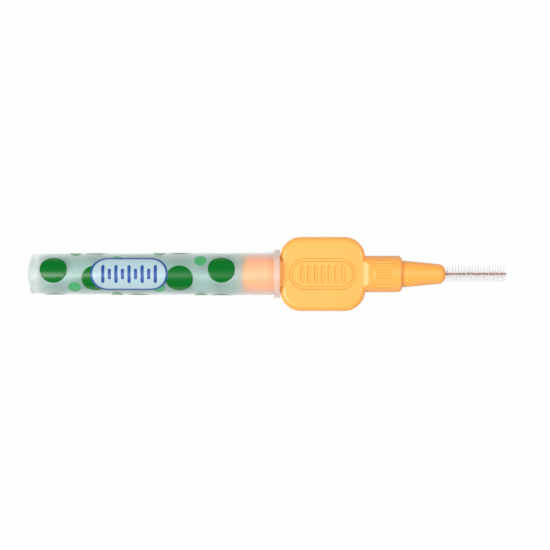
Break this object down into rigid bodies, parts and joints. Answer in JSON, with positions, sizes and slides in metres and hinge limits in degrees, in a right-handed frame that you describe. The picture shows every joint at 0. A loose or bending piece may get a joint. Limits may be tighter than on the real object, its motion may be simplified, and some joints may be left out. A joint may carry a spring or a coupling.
{
  "type": "interdental brush",
  "caption": "Interdental brush: flat paddle grip between ribbed collars, tapered nose with a twisted wire and nylon filaments, and a translucent press-on cap.",
  "frame": {"origin": "middle of the length, on the surface that the brush lies on, below its axis", "axes": "+X along the brush from the cap's closed end to the wire's tip, +Z out of the paddle's flat"},
  "size_m": [0.0884, 0.0136, 0.0091],
  "materials": {
    "handle_polypropylene": "satin moulded polypropylene, orange",
    "cap_polypropylene": "translucent moulded polypropylene, printed",
    "wire_steel": "drawn stainless wire, warm brown tint",
    "filament_nylon": "clear to white nylon filament"
  },
  "bodies": {
    "brush": {"handle": "handle_polypropylene", "wire_core": "wire_steel", "bristle_row_01": "filament_nylon", "bristle_row_02": "filament_nylon", "bristle_row_03": "filament_nylon", "bristle_row_04": "filament_nylon", "bristle_row_05": "filament_nylon", "bristle_row_06": "filament_nylon", "bristle_row_07": "filament_nylon", "bristle_row_08": "filament_nylon", "bristle_row_09": "filament_nylon", "bristle_row_10": "filament_nylon", "bristle_row_11": "filament_nylon", "bristle_row_12": "filament_nylon", "bristle_row_13": "filament_nylon", "bristle_row_14": "filament_nylon", "bristle_row_15": "filament_nylon", "bristle_row_16": "filament_nylon", "bristle_row_17": "filament_nylon", "bristle_row_18": "filament_nylon", "bristle_row_19": "filament_nylon", "bristle_row_20": "filament_nylon", "bristle_row_21": "filament_nylon"},
    "cap": {"cap": "cap_polypropylene"}
  },
  "joints": [
    {"name": "cap_pull", "type": "slide", "parent": "brush", "child": "cap", "axis": [-1, 0, 0], "range_m": [0, 0.01]}
  ]
}
